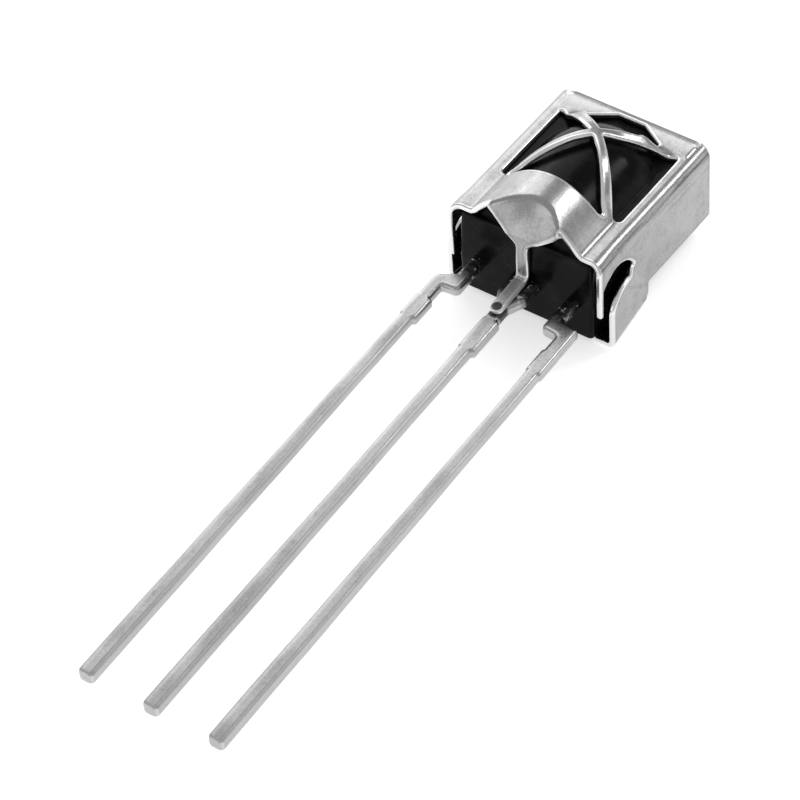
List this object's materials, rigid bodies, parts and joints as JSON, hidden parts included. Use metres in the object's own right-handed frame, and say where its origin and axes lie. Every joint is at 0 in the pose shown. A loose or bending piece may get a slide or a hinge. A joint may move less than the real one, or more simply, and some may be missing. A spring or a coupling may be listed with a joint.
{
  "type": "infrared receiver module",
  "caption": "Infrared receiver with a black lensed body in a folded steel shield with a raised cross over its window, and straight leads.",
  "frame": {"origin": "centre of the bounding box on the plane that the module lies on", "axes": "+X across the leads, +Y from the lead tips towards the top of the body, +Z out through the lens"},
  "size_m": [0.0068, 0.0286, 0.0052],
  "materials": {
    "shield_steel": "tinned, semi-bright",
    "lead_metal": "tinned, satin",
    "black_epoxy": "smooth, infrared-pass black",
    "diode_silicon": "polished",
    "chip_silicon": "polished",
    "silver_adhesive": "matt",
    "bond_gold": "bright"
  },
  "bodies": {
    "root": {"shield": "shield_steel", "epoxy_body": "black_epoxy", "lead_output": "lead_metal", "lead_ground": "lead_metal", "lead_supply": "lead_metal", "photodiode_die": "diode_silicon", "receiver_ic_die": "chip_silicon", "photodiode_adhesive": "silver_adhesive", "receiver_ic_adhesive": "silver_adhesive", "wire_diode_signal": "bond_gold", "wire_diode_bias": "bond_gold", "wire_output": "bond_gold", "wire_supply": "bond_gold", "wire_ground": "bond_gold"}
  },
  "joints": []
}
